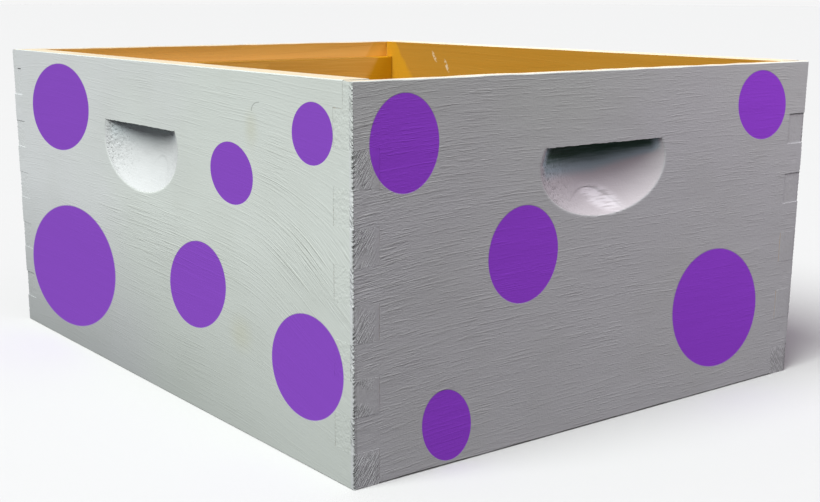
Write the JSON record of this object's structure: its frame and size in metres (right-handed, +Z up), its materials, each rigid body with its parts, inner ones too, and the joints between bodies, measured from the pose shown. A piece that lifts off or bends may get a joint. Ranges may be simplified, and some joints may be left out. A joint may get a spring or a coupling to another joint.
{
  "type": "langstroth hive box",
  "caption": "Open-topped, open-bottomed wooden beehive body of finger-jointed, nailed boards, with frame-rest rabbets in the end boards and a scooped handhold in each side.",
  "frame": {"origin": "centre of the box's footprint, on the plane that its bottom rim stands on", "axes": "+Z up; the box is longest along Y and the front end board faces -Y; X runs across the box"},
  "size_m": [0.4128, 0.5048, 0.2381],
  "materials": {
    "painted_board": "brushed exterior paint over rough-sawn softwood, bare inside",
    "nail_steel": "galvanised, heads set under the paint"
  },
  "bodies": {
    "root": {"front_end_board": "painted_board", "back_end_board": "painted_board", "left_side_board": "painted_board", "right_side_board": "painted_board", "front_left_end_nails": "nail_steel", "front_left_side_nails": "nail_steel", "front_right_end_nails": "nail_steel", "front_right_side_nails": "nail_steel", "back_left_end_nails": "nail_steel", "back_left_side_nails": "nail_steel", "back_right_end_nails": "nail_steel", "back_right_side_nails": "nail_steel"}
  },
  "joints": []
}
